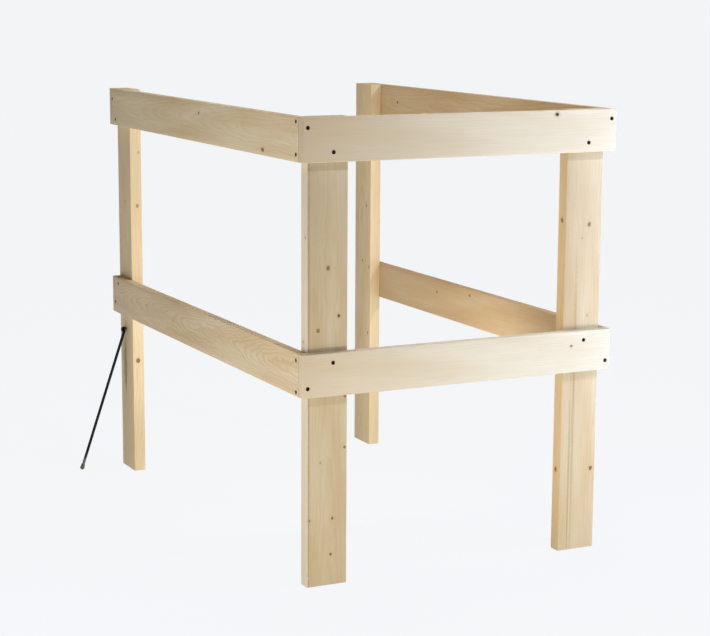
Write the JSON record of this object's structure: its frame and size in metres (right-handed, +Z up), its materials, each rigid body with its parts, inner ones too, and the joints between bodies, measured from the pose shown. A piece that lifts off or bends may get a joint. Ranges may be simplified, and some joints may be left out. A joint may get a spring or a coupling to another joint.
{
  "type": "top bar hive stand",
  "caption": "Open-backed timber stand for a top bar hive: flat legs, screwed upper and lower rails, and a hinged steel ground stay on one back leg.",
  "frame": {"origin": "on the ground, under the middle of the whole object's box, with the stay set down", "axes": "+Z up, +Y from the closed front end to the open back along the hive's length, +X to the right; the ground stay is on the -X side"},
  "size_m": [0.8322, 1.15, 0.96],
  "materials": {
    "rail_timber": "planed spruce, unfinished, eased edges",
    "leg_timber": "planed spruce, unfinished, small brown knots",
    "screw_steel": "dark phosphated steel, countersunk cross-recess heads",
    "stay_steel": "black painted steel wire and rod, worn near the ground",
    "foot_rubber": "dusty moulded rubber"
  },
  "bodies": {
    "frame": {"rail_front_upper": "rail_timber", "rail_left_upper": "rail_timber", "rail_right_upper": "rail_timber", "rail_front_lower": "rail_timber", "rail_left_lower": "rail_timber", "rail_right_lower": "rail_timber", "leg_front_left": "leg_timber", "leg_front_right": "leg_timber", "leg_back_left": "leg_timber", "leg_back_right": "leg_timber", "screw_front_upper_left_end": "screw_steel", "screw_front_upper_left_leg": "screw_steel", "screw_left_upper_front_outer": "screw_steel", "screw_left_upper_front_inner": "screw_steel", "screw_left_upper_back_outer": "screw_steel", "screw_left_upper_back_inner": "screw_steel", "screw_front_upper_right_end": "screw_steel", "screw_front_upper_right_leg": "screw_steel", "screw_right_upper_front_outer": "screw_steel", "screw_right_upper_front_inner": "screw_steel", "screw_right_upper_back_outer": "screw_steel", "screw_right_upper_back_inner": "screw_steel", "screw_front_lower_left_end": "screw_steel", "screw_front_lower_left_leg": "screw_steel", "screw_left_lower_front_outer": "screw_steel", "screw_left_lower_front_inner": "screw_steel", "screw_left_lower_back_outer": "screw_steel", "screw_left_lower_back_inner": "screw_steel", "screw_front_lower_right_end": "screw_steel", "screw_front_lower_right_leg": "screw_steel", "screw_right_lower_front_outer": "screw_steel", "screw_right_lower_front_inner": "screw_steel", "screw_right_lower_back_outer": "screw_steel", "screw_right_lower_back_inner": "screw_steel", "stay_screw_eye": "stay_steel"},
    "stay": {"stay_rod": "stay_steel", "stay_push_nut": "stay_steel", "stay_foot": "foot_rubber"}
  },
  "joints": [
    {"name": "stay_hinge", "type": "hinge", "parent": "frame", "child": "stay", "pos_m": [-0.3028, 0.5305, 0.358], "axis": [0, 1, 0], "range_deg": [0, 142]}
  ]
}
